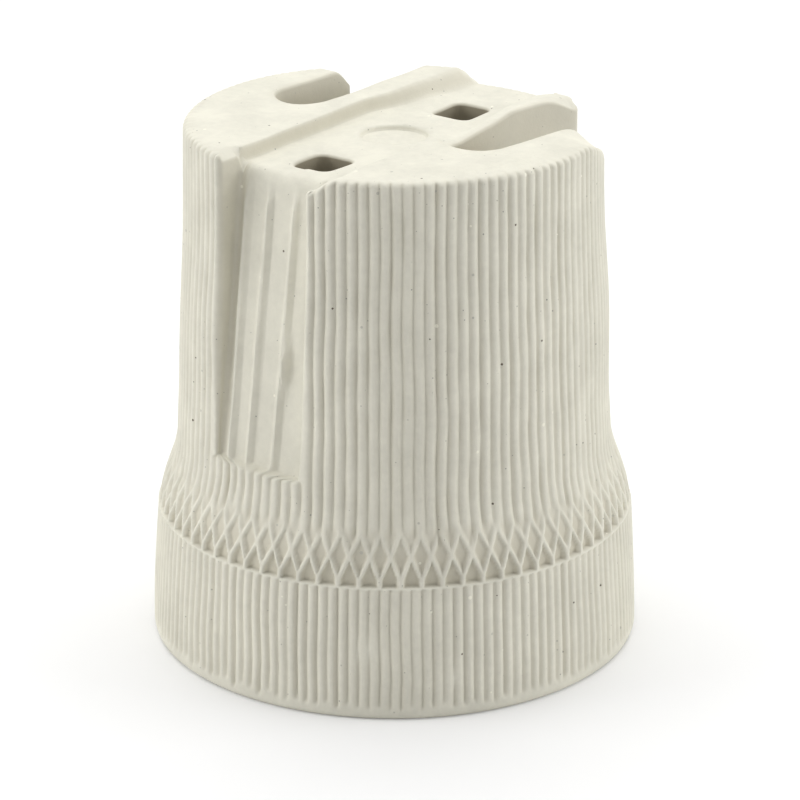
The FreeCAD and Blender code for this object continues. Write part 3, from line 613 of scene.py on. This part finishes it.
def rounded_box_loop(middle, half_x, half_y, corner, steps=6, between=5):
    """A rectangle with rounded corners, counter-clockwise, with points along its sides."""
    corners = []
    for number, (side_x, side_y) in enumerate(((1, 1), (-1, 1), (-1, -1), (1, -1))):
        turn = np.linspace(0, QUARTER, steps) + number * QUARTER
        corners.append(np.stack([middle[0] + side_x * (half_x - corner) + corner * np.cos(turn),
                                 middle[1] + side_y * (half_y - corner) + corner * np.sin(turn)],
                                axis=1))
    share = np.linspace(0, 1, between + 2)[1:-1][:, None]
    runs = []
    for block, after in zip(corners, corners[1:] + corners[:1]):
        runs += [block, block[-1] + (after[0] - block[-1]) * share]
    return np.vstack(runs)


def hole_rings(side):
    """Rings down a bracket hole: its edge rounded over, then straight to the bore."""
    middle = (side * HOLES["offset"], 0.0)
    edge = HOLES["edge"]
    rings = []
    for turn in np.linspace(0, QUARTER, 4):
        grow = edge * (1 - math.sin(turn))
        loop = rounded_box_loop(middle, HOLES["length"] / 2 + grow, HOLES["width"] / 2 + grow,
                                HOLES["corner"] + grow)
        height = top_height(loop[:, 0], loop[:, 1]) - edge * (1 - math.cos(turn))
        rings.append(at_height(loop, height))
    rings.append(at_height(loop, CEILING))
    return rings


def pit_loop():
    """The contact pit's outline: a bar with round ends, from past the axis to the line screw."""
    end = screw_middle("line_fixing_screw")
    way = end / np.hypot(*end)
    side = np.array([-way[1], way[0]])
    bend = np.linspace(-QUARTER, QUARTER, 13)[:, None]
    bulge = PIT["half_width"] * (np.cos(bend) * way + np.sin(bend) * side)
    return np.vstack([end + bulge, -PIT["past_axis"] * way - bulge])


def top_spread(borders):
    """Points over the top faces: a grid, closer where a step runs, clear of the borders."""
    along = np.arange(-18.0, 18.1, 0.5)
    across = np.concatenate([np.arange(-17.6, -6.5, 0.5),
                             [-6.3, -6.2, -6.1, -6.0, -5.9, -5.8, -5.2, -5.1, -5.0, -4.9, -4.8,
                              -4.65], np.arange(-4.2, 17.8, 0.5)])
    spread = np.stack(np.meshgrid(along, across), axis=-1).reshape(-1, 2)
    foot, mouth = channel_wall(spread[:, 0])
    spread = spread[(spread[:, 1] < foot - 0.25) | (spread[:, 1] > mouth + 0.25)]
    foot, mouth = channel_wall(along)
    lines = [np.column_stack([along, foot + share * (mouth - foot)])
             for share in (-0.1, 0.1, 0.3, 0.5, 0.7, 0.9, 1.1)]
    spread = np.vstack([spread] + lines)
    off_ring = np.abs(np.hypot(spread[:, 0], spread[:, 1]) - 2.93) > 0.42
    rings = [circle(reach, 48) for reach in (2.78, 2.88, 2.97, 3.05)]
    spread = np.vstack([spread[off_ring]] + rings)
    spread = spread[inside_loop(borders[0], spread)]
    for loop in borders[1:]:
        spread = spread[~inside_loop(loop, spread)]
    edge = np.vstack(borders)
    gap = np.hypot(spread[:, None, 0] - edge[None, :, 0], spread[:, None, 1] - edge[None, :, 1])
    return spread[np.min(gap, axis=1) > 0.22]


def make_ceramic_body(body):
    """Join the outside grid, the top faces, the bracket holes and the bore's ceiling."""
    grid, painted_shade = make_outside(body)
    rows, columns = grid.shape[:2]
    points = [grid.reshape(-1, 3)]
    shade = [painted_shade.reshape(-1)]
    faces = ring_faces(rows, columns)
    total = rows * columns

    def add(block, level=0.0):
        """Append points with their values of painted shade and return their numbers."""
        nonlocal total
        points.append(block)
        shade.append(level + np.zeros(len(block)))
        total += len(block)
        return np.arange(total - len(block), total)

    top_loops, top_numbers = [grid[-1, :, :2]], [np.arange(columns) + (rows - 1) * columns]
    ceiling_loops, ceiling_numbers = [grid[0, :, :2]], [np.arange(columns)]
    for side in (-1, 1):
        rings = hole_rings(side)
        steps = len(rings[0])
        # Painted shade down the bracket holes, darker with depth.
        numbers = add(np.vstack(rings), np.repeat([0.0, 0.5, 1.2, 2.0, 2.8], steps))
        faces.extend(ring_faces(len(rings), steps, numbers[0]))
        top_loops.append(rings[0][:, :2])
        top_numbers.append(numbers[:steps])
        ceiling_loops.append(rings[-1][:, :2])
        ceiling_numbers.append(numbers[-steps:])

    added, triangles = fill_plan(top_loops, top_spread(top_loops))
    # Painted shade on the channel's wall on the line side, strongest halfway up it.
    foot, mouth = channel_wall(added[:, 0])
    share = np.clip((added[:, 1] - foot) / (mouth - foot), 0, 1)
    raised = at_height(added, top_height(added[:, 0], added[:, 1]))
    top_numbers.append(add(raised, 4.4 * share * (1 - share)))
    faces.extend(np.concatenate(top_numbers)[triangles].tolist())

    pit = pit_loop()
    numbers = add(np.vstack([at_height(pit, height) for height in (CEILING, PIT_CEILING)]))
    faces.extend(ring_faces(2, len(pit), numbers[0], outward=False))
    faces.append(numbers[len(pit):][::-1].tolist())
    ceiling_numbers.append(numbers[:len(pit)])
    _, triangles = fill_plan(ceiling_loops + [pit], np.zeros((0, 2)))
    faces.extend(np.concatenate(ceiling_numbers)[triangles][:, ::-1].tolist())

    piece = make_object("porcelain_body", np.vstack(points), faces)
    # The painted shade goes into a point attribute for the porcelain's colour.
    layer = piece.data.attributes.new("painted_shade", "FLOAT", "POINT")
    layer.data.foreach_set("value", np.concatenate(shade).astype(np.float32))
    for screw, low in (("line_fixing_screw", PIT_CEILING), ("neutral_fixing_screw", CEILING)):
        drill(piece, screw, HOLES["drill"], low - 1, SLOT_FLOOR + 1)
    return piece


# ------------------------------------------------------------ screw shell

SHELL = {"sheet": 0.4, "major": 13.275, "minor": 12.18, "pitch": 3.629, "collar": 2.2,
         "window": 10.4, "lug": 2.6, "gap": 12.9, "drill": 1.4}


def away_from(angle, screw):
    """How far each angle is from a screw's, in radians."""
    middle = screw_middle(screw)
    return np.abs((angle - math.atan2(middle[1], middle[0]) + math.pi) % TURN - math.pi)


def make_rolled_shell():
    """The shell's rolled thread: circles shifted round a small circle as they rise.

    A ring at height z is a circle whose middle lies half the thread's depth from the
    axis, at an angle that grows by one turn in each pitch. The shift fades to a plain
    collar at both ends, and the skin is a sheet of even thickness. The turned-in floor
    leaves a window, reaches out to the neutral screw as a lug and clears the line screw.
    """
    low, high, sheet, major = SHELL_FOOT, CEILING, SHELL["sheet"], SHELL["major"]
    half_depth = (major - SHELL["minor"]) / 2
    collar = SHELL["collar"]
    around = np.linspace(0, TURN, 144, endpoint=False)[None, :]

    def skin(heights, grow):
        """A skin of the sheet, with its rings at a column of heights."""
        share = ramp(low + 0.3, low + collar + 0.3, heights) * \
            (1 - ramp(high - collar - 0.7, high - 0.7, heights))
        throw = half_depth * share
        middle = major - half_depth * share + grow
        turn = (heights - low - collar) / SHELL["pitch"] * TURN
        return np.stack([throw * np.cos(turn) + middle * np.cos(around),
                         throw * np.sin(turn) + middle * np.sin(around),
                         heights + 0 * around], axis=-1)

    lug = np.hypot(*screw_middle("neutral_fixing_screw")) - SHELL["lug"]
    to_lug = away_from(around, "neutral_fixing_screw")
    to_gap = away_from(around, "line_fixing_screw")
    reach = SHELL["window"] + (lug - SHELL["window"]) * (1 - ramp(0.22, 0.30, to_lug))
    reach = reach + (SHELL["gap"] - reach) * (1 - ramp(0.30, 0.40, to_gap))

    def floor_ring(share, height):
        """A ring of the turned-in floor, a share of the way from the wall to the window."""
        radius = (major + sheet) + (reach - major - sheet) * share
        return np.stack([radius * np.cos(around), radius * np.sin(around), height + 0 * around],
                        axis=-1)

    inward = (0.15, 0.6, 0.98, 1.0)
    top = np.concatenate([floor_ring(share, high) for share in inward])
    under = np.concatenate([floor_ring(share, high - sheet) for share in inward[::-1]])
    top[-1, :, 2] -= 0.1
    under[0, :, 2] += 0.1
    grid = np.concatenate([skin(np.linspace(low, high, 118)[:, None], sheet), top, under,
                           skin(np.linspace(high - sheet, low, 118)[:, None], 0.0)])
    rows, columns = grid.shape[:2]
    last = (rows - 1) * columns
    here = np.arange(columns)
    after = (here + 1) % columns
    faces = ring_faces(rows, columns)
    faces += np.stack([last + here, last + after, after, here], axis=-1).tolist()
    piece = make_object("rolled_screw_shell", grid.reshape(-1, 3), faces)
    drill(piece, "neutral_fixing_screw", SHELL["drill"], high - 1, high + 1)
    return piece


# ------------------------------------------------------------ materials

def add_node(tree, kind, **values):
    """A node whose inputs and settings are given by name."""
    node = tree.nodes.new(kind)
    for name, value in values.items():
        label = name.replace("_", " ")
        if label in node.inputs:
            node.inputs[label].default_value = value
        else:
            setattr(node, name, value)
    return node


def feed(tree, socket, value):
    """Link a socket to an input, or set the input to a plain value."""
    if isinstance(value, bpy.types.NodeSocket):
        tree.links.new(value, socket)
    else:
        socket.default_value = value


def math_node(tree, operation, *values):
    """The result of a maths node on sockets and plain numbers."""
    node = add_node(tree, "ShaderNodeMath", operation=operation)
    for socket, value in zip(node.inputs, values):
        feed(tree, socket, value)
    return node.outputs[0]


def map_range(tree, value, **limits):
    """A value carried from one range over to another."""
    node = add_node(tree, "ShaderNodeMapRange", **limits)
    tree.links.new(value, node.inputs["Value"])
    return node.outputs["Result"]


def mix_colour(tree, factor, first, second):
    """Mix two colours, each a socket or a plain colour, by a mask."""
    node = add_node(tree, "ShaderNodeMix", data_type="RGBA")
    tree.links.new(factor, node.inputs[0])
    for socket, value in ((node.inputs[6], first), (node.inputs[7], second)):
        feed(tree, socket, (*value, 1.0) if isinstance(value, tuple) else value)
    return node.outputs[2]


def group_tree(name, inputs, output):
    """An empty node group that takes a vector and numbers and gives one number."""
    tree = bpy.data.node_groups.new(name, "ShaderNodeTree")
    tree.interface.new_socket(name="Vector", in_out="INPUT", socket_type="NodeSocketVector")
    for label, value in inputs.items():
        socket = tree.interface.new_socket(name=label, in_out="INPUT",
                                           socket_type="NodeSocketFloat")
        socket.default_value = value
    tree.interface.new_socket(name=output, in_out="OUTPUT", socket_type="NodeSocketFloat")
    start = tree.nodes.new("NodeGroupInput").outputs
    return tree, start, tree.nodes.new("NodeGroupOutput").inputs[output]


def specks_group():
    """Scattered round specks: 1 in a speck and 0 outside, in a share of the cells."""
    tree, start, end = group_tree("scattered_specks",
                                  {"Scale": 1000.0, "Size": 0.2, "Share": 0.2}, "Mask")
    cells = add_node(tree, "ShaderNodeTexVoronoi", feature="F1", Randomness=1.0)
    for name in ("Vector", "Scale"):
        tree.links.new(start[name], cells.inputs[name])
    split = tree.nodes.new("ShaderNodeSeparateColor")
    tree.links.new(cells.outputs["Color"], split.inputs["Color"])
    chosen = math_node(tree, "LESS_THAN", split.outputs["Red"], start["Share"])
    size = math_node(tree, "MULTIPLY", split.outputs["Green"], start["Size"])
    near = math_node(tree, "LESS_THAN", cells.outputs["Distance"], size)
    tree.links.new(math_node(tree, "MULTIPLY", chosen, near), end)
    return tree


def grain_group():
    """Even fine grain between 0 and 1: two scales of noise added together."""
    tree, start, end = group_tree("fine_grain", {"Scale": 2000.0, "Coarse": 0.5}, "Value")
    fine = add_node(tree, "ShaderNodeTexNoise", Detail=3.0, Roughness=0.6)
    broad = add_node(tree, "ShaderNodeTexNoise", Detail=2.0)
    slower = math_node(tree, "MULTIPLY", start["Scale"], 0.18)
    for noise, scale in ((fine, start["Scale"]), (broad, slower)):
        tree.links.new(start["Vector"], noise.inputs["Vector"])
        tree.links.new(scale, noise.inputs["Scale"])
    mix = add_node(tree, "ShaderNodeMix", data_type="FLOAT")
    for name, value in (("Factor", start["Coarse"]), ("A", fine.outputs["Fac"]),
                        ("B", broad.outputs["Fac"])):
        tree.links.new(value, mix.inputs[name])
    tree.links.new(mix.outputs["Result"], end)
    return tree


GROUPS = {"scattered_specks": specks_group, "fine_grain": grain_group}


def use_group(tree, name, vector, **values):
    """What a shared node group gives with these values. Its first use builds it."""
    node = tree.nodes.new("ShaderNodeGroup")
    node.node_tree = bpy.data.node_groups.get(name) or GROUPS[name]()
    tree.links.new(vector, node.inputs["Vector"])
    for label, value in values.items():
        node.inputs[label].default_value = value
    return node.outputs[0]


def scaled(colour, share):
    """A colour made lighter or darker."""
    return tuple(min(1.0, channel * share) for channel in colour)


def new_material(name):
    """A material with its node tree, its shader's inputs and its object coordinates."""
    material = bpy.data.materials.new(name)
    material.use_nodes = True
    tree = material.node_tree
    place = tree.nodes.new("ShaderNodeTexCoord").outputs["Object"]
    return material, tree, tree.nodes["Principled BSDF"].inputs, place


def add_bump(tree, shader, height, strength, distance):
    """Roughen a shader's surface by a height."""
    bump = add_node(tree, "ShaderNodeBump", Strength=strength, Distance=distance)
    tree.links.new(height, bump.inputs["Height"])
    tree.links.new(bump.outputs["Normal"], shader["Normal"])


def make_porcelain(finish):
    """Unglazed fired porcelain: a warm off-white with painted shade in the grooves, with
    mottling, dark pits, pale grains and a fine dry tooth.

    A point attribute of painted shade is 0 on crests, about 1 in grooves and on the slots'
    walls, and more than 1.4 down the bracket holes, whose painted shade is darkest.
    """
    material, tree, shader, place = new_material("unglazed_porcelain")
    base = tuple(finish.porcelain)
    pit = tuple(finish.pit)
    mottle = use_group(tree, "fine_grain", place, Scale=1400.0, Coarse=0.6)
    spread = map_range(tree, mottle, From_Min=0.35, From_Max=0.65)
    colour = mix_colour(tree, spread, scaled(base, 0.93), scaled(base, 1.05))
    painted_shade = add_node(tree, "ShaderNodeAttribute", attribute_name="painted_shade").outputs["Fac"]
    # Painted shade: the body is mixed towards the grooves' colour by the attribute of painted
    # shade.
    deep = math_node(tree, "MULTIPLY", painted_shade, 0.55)
    colour = mix_colour(tree, deep, colour, tuple(finish.groove))
    # Painted shade down the bracket holes: a dark brown where the attribute of painted shade
    # passes 1.4.
    hole = map_range(tree, painted_shade, From_Min=1.4, From_Max=2.4)
    colour = mix_colour(tree, hole, colour, scaled((1.0, 0.82, 0.5), 0.2))
    for scale, size, share, tone in ((800.0, 0.16, 0.10, scaled(base, 1.16)),
                                     (900.0, 0.14, 0.22, scaled(base, 0.74)),
                                     (1300.0, 0.10, 0.5, scaled(base, 0.5)),
                                     (750.0, 0.085, 0.42, pit)):
        mask = use_group(tree, "scattered_specks", place, Scale=scale, Size=size, Share=share)
        colour = mix_colour(tree, mask, colour, tone)
    tree.links.new(colour, shader["Base Color"])
    shader["Roughness"].default_value = 0.82
    shader["Specular IOR Level"].default_value = 0.32
    tooth = use_group(tree, "fine_grain", place, Scale=5200.0, Coarse=0.45)
    sunk = math_node(tree, "MULTIPLY_ADD", mask, -1.5, tooth)
    add_bump(tree, shader, sunk, 0.55, 0.00006)
    return material


def make_metal(name, colour, roughness):
    """A plated or bare metal with handling marks: uneven gloss and dull spots."""
    material, tree, shader, place = new_material(name)
    cloud = use_group(tree, "fine_grain", place, Scale=900.0, Coarse=0.7)
    tone = mix_colour(tree, cloud, scaled(colour, 0.78), scaled(colour, 1.12))
    spots = use_group(tree, "scattered_specks", place, Scale=1500.0, Size=0.25, Share=0.12)
    tone = mix_colour(tree, spots, tone, scaled(colour, 0.5))
    tree.links.new(tone, shader["Base Color"])
    shader["Metallic"].default_value = 1.0
    gloss = map_range(tree, cloud, To_Min=roughness - 0.1, To_Max=roughness + 0.14)
    tree.links.new(gloss, shader["Roughness"])
    add_bump(tree, shader, cloud, 0.25, 0.00002)
    return material


# ------------------------------------------------------------ stage

MIDDLE = Vector((0, 0, 0.02))
# Each lamp's place, its width, both in metres, and its power in watts.
LAMPS = {"lamp_left": ((-0.34, 0.34, 0.16), 0.30, 1.04),
         "lamp_right": ((0.26, -0.40, 0.16), 0.30, 0.98),
         "lamp_top": ((0.10, 0.08, 0.50), 0.50, 2.0)}
CAMERA = {"place": Vector((-0.2226, -0.1708, 0.1300)), "aim": Vector((0.0003, -0.0004, 0.02114)),
          "lens": 150.0, "sensor_width": 36.0, "clip_start": 0.01}
FLOOR = {"reach": 3.0, "colour": (0.80, 0.80, 0.80, 1), "roughness": 0.9, "glow": 0.13}
WORLD_LEVEL = 0.40
WHITE = (1, 1, 1, 1)


def put(scene, name, data, place=Vector(), aim=None):
    """An object in the scene, turned to face a point where one is given."""
    thing = bpy.data.objects.new(name, data)
    thing.location = place
    if aim is not None:
        thing.rotation_euler = (aim - place).to_track_quat("-Z", "Y").to_euler()
    scene.collection.objects.link(thing)
    return thing


def make_lamps(scene):
    """Soft square lamps that face the middle of the object."""
    for name, (place, size, power) in LAMPS.items():
        data = bpy.data.lights.new(name, "AREA")
        data.size = size
        data.energy = power
        put(scene, name, data, Vector(place), MIDDLE)


def make_camera(scene):
    """The camera, with a long lens from a little above."""
    data = bpy.data.cameras.new("camera")
    for name in ("lens", "sensor_width", "clip_start"):
        setattr(data, name, CAMERA[name])
    scene.camera = put(scene, "camera", data, CAMERA["place"], CAMERA["aim"])


def shown_rays(tree):
    """1 for rays from the camera and for reflections, 0 for the light on the object."""
    rays = tree.nodes.new("ShaderNodeLightPath").outputs
    return math_node(tree, "MAXIMUM", rays["Is Camera Ray"], rays["Is Glossy Ray"])


def make_floor(scene):
    """A wide white floor that shows the soft shadow and clears to white."""
    reach = FLOOR["reach"]
    mesh = bpy.data.meshes.new("floor")
    mesh.from_pydata([(-reach, -reach, 0), (reach, -reach, 0), (reach, reach, 0),
                      (-reach, reach, 0)], [], [(0, 1, 2, 3)])
    floor = put(scene, "floor", mesh)
    material, tree, shader, _ = new_material("white_floor")
    shader["Base Color"].default_value = FLOOR["colour"]
    shader["Roughness"].default_value = FLOOR["roughness"]
    shader["Emission Color"].default_value = WHITE
    glow = math_node(tree, "MULTIPLY", shown_rays(tree), FLOOR["glow"])
    tree.links.new(glow, shader["Emission Strength"])
    mesh.materials.append(material)


def make_world(scene):
    """An even pale world that shows as white."""
    world = bpy.data.worlds.new("studio")
    scene.world = world
    world.use_nodes = True
    tree = world.node_tree
    back = tree.nodes["Background"].inputs
    level = map_range(tree, shown_rays(tree), To_Min=WORLD_LEVEL, To_Max=1.0)
    back["Color"].default_value = WHITE
    tree.links.new(level, back["Strength"])


# ------------------------------------------------------------ operators and panel

class LAMPHOLDER_OT_body(bpy.types.Operator):
    """Make the fluted porcelain body"""

    bl_idname = "lampholder.body"
    bl_label = "Porcelain body"

    def execute(self, context):
        piece = make_ceramic_body(context.scene.lampholder_body)
        piece.data.materials.append(make_porcelain(context.scene.lampholder_finish))
        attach(piece, "holder")
        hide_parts("ceramic_body")
        return {"FINISHED"}


class LAMPHOLDER_OT_shell(bpy.types.Operator):
    """Make the rolled screw shell"""

    bl_idname = "lampholder.shell"
    bl_label = "Screw shell"

    def execute(self, context):
        piece = make_rolled_shell()
        colour = tuple(context.scene.lampholder_finish.nickel)
        piece.data.materials.append(make_metal("nickel_plated_shell", colour, 0.34))
        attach(piece, "holder")
        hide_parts("screw_shell")
        return {"FINISHED"}


class LAMPHOLDER_OT_metal(bpy.types.Operator):
    """Finish the strip, the contact, the terminals and the screws"""

    bl_idname = "lampholder.metal"
    bl_label = "Metal parts"

    def execute(self, context):
        finish = context.scene.lampholder_finish
        brass = make_metal("bare_brass", tuple(finish.brass), 0.36)
        bronze = make_metal("spring_bronze", scaled(tuple(finish.brass), 0.86), 0.3)
        steel = make_metal("zinc_plated_steel", tuple(finish.steel), 0.4)
        finishes = {"centre_contact": bronze, "contact_rivet": brass, "line_strip": brass}
        for slot in ("line", "neutral"):
            finishes[f"{slot}_terminal"] = brass
            for part in ("fixing_screw", "spring_washer", "clamp_screw", "clamp_washer"):
                finishes[f"{slot}_{part}"] = steel
        for name, material in finishes.items():
            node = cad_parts[name]
            if not node.material_slots:
                node.data.materials.append(material)
            for place in node.material_slots:
                place.material = material
        return {"FINISHED"}


class LAMPHOLDER_OT_stage(bpy.types.Operator):
    """Make the floor, the lamps and the camera"""

    bl_idname = "lampholder.stage"
    bl_label = "Stage"

    def execute(self, context):
        for make in (make_floor, make_world, make_lamps, make_camera):
            make(context.scene)
        context.scene.view_settings.view_transform = "Standard"
        return {"FINISHED"}


class LAMPHOLDER_PT_panel(bpy.types.Panel):
    """The lamp holder's settings and its steps"""

    bl_idname = "LAMPHOLDER_PT_panel"
    bl_label = "Lamp holder"
    bl_space_type = "VIEW_3D"
    bl_region_type = "UI"
    bl_category = "Lamp holder"

    def draw(self, context):
        layout = self.layout
        for group in (context.scene.lampholder_body, context.scene.lampholder_finish):
            box = layout.box()
            for name in group.bl_rna.properties.keys():
                if name not in ("rna_type", "name"):
                    box.prop(group, name)
        for step in STEPS:
            layout.operator(f"lampholder.{step}")


STEPS = ("body", "shell", "metal", "stage")
CLASSES = (LampHolderBody, LampHolderFinish, LAMPHOLDER_OT_body, LAMPHOLDER_OT_shell,
           LAMPHOLDER_OT_metal, LAMPHOLDER_OT_stage, LAMPHOLDER_PT_panel)


def register():
    """Add the classes and the scene's settings."""
    for entry in CLASSES:
        bpy.utils.register_class(entry)
    bpy.types.Scene.lampholder_body = bpy.props.PointerProperty(type=LampHolderBody)
    bpy.types.Scene.lampholder_finish = bpy.props.PointerProperty(type=LampHolderFinish)


def unregister():
    """Take them away again."""
    del bpy.types.Scene.lampholder_finish
    del bpy.types.Scene.lampholder_body
    for entry in reversed(CLASSES):
        bpy.utils.unregister_class(entry)


def main():
    """Make everything in order."""
    register()
    for step in STEPS:
        getattr(bpy.ops.lampholder, step)()


if __name__ == "__main__":
    main()
